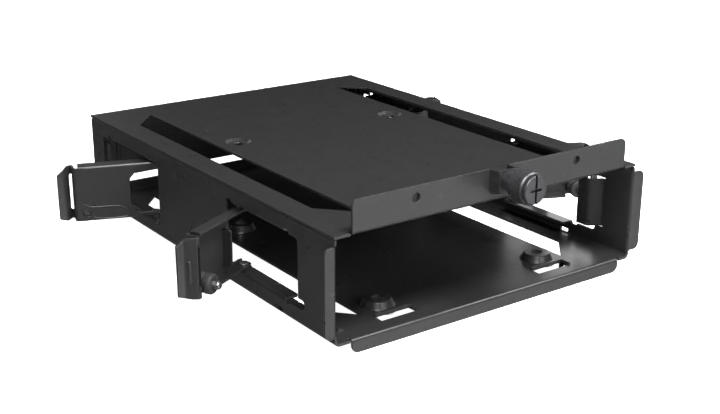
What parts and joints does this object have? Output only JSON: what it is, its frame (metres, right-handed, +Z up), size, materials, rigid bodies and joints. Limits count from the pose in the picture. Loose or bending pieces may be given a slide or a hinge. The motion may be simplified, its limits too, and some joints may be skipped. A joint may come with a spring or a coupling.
{
  "type": "hard drive cage",
  "caption": "Black folded-steel hard drive cage with vent slots, swing-out retaining levers with rubber-cushioned drive pins, and a captive thumbscrew on its front flange.",
  "frame": {"origin": "middle of the underside of the cage floor, in the plane of its outer face", "axes": "+Y from the open front, with the thumbscrew, to the closed rear; +Z up; +X to the right seen from the open front"},
  "size_m": [0.1659, 0.1665, 0.0449],
  "materials": {
    "black_steel": "satin powder coat",
    "plated_steel": "bright zinc plate",
    "dark_metal": "satin anthracite",
    "black_rubber": "matt"
  },
  "bodies": {
    "cage": {"lower_tray": "black_steel", "top_cover": "black_steel", "seam_rivets_left": "black_steel", "seam_rivets_right": "black_steel", "screw_ferrule": "dark_metal", "hinge_rivets_front_left": "plated_steel", "hinge_rivets_front_right": "plated_steel", "hinge_rivets_rear_left": "plated_steel", "hinge_rivets_rear_right": "plated_steel"},
    "screw_slider": {"screw_retaining_ring": "plated_steel", "screw_spring": "plated_steel"},
    "screw_turner": {"screw_shank": "plated_steel", "screw_knob": "dark_metal"},
    "lever_arm_front_left": {"lever_front_left": "black_steel", "drive_pin_front_left": "plated_steel", "pin_cushion_front_left": "black_rubber"},
    "lever_arm_front_right": {"lever_front_right": "black_steel", "drive_pin_front_right": "plated_steel", "pin_cushion_front_right": "black_rubber"},
    "lever_arm_rear_left": {"lever_rear_left": "black_steel", "drive_pin_rear_left": "plated_steel", "pin_cushion_rear_left": "black_rubber"},
    "lever_arm_rear_right": {"lever_rear_right": "black_steel", "drive_pin_rear_right": "plated_steel", "pin_cushion_rear_right": "black_rubber"}
  },
  "joints": [
    {"name": "screw_push", "type": "slide", "parent": "cage", "child": "screw_slider", "axis": [0, 1, 0], "range_m": [0, 0.004], "stiffness_N_per_m": 300, "springref_m": -0.001, "deforming": ["screw_spring"]},
    {"name": "screw_turn", "type": "hinge", "parent": "screw_slider", "child": "screw_turner", "pos_m": [0, -0.08, 0.0368], "axis": [0, 1, 0], "continuous": true},
    {"name": "lever_swing_front_left", "type": "hinge", "parent": "cage", "child": "lever_arm_front_left", "pos_m": [-0.0537, -0.0254, 0.015], "axis": [0, 0, 1], "range_deg": [-28, 62]},
    {"name": "lever_swing_front_right", "type": "hinge", "parent": "cage", "child": "lever_arm_front_right", "pos_m": [0.0537, -0.0254, 0.015], "axis": [0, 0, 1], "range_deg": [-66, 24]},
    {"name": "lever_swing_rear_left", "type": "hinge", "parent": "cage", "child": "lever_arm_rear_left", "pos_m": [-0.0537, 0.032, 0.015], "axis": [0, 0, 1], "range_deg": [-70, 20]},
    {"name": "lever_swing_rear_right", "type": "hinge", "parent": "cage", "child": "lever_arm_rear_right", "pos_m": [0.0537, 0.032, 0.015], "axis": [0, 0, 1], "range_deg": [-34, 56]}
  ]
}
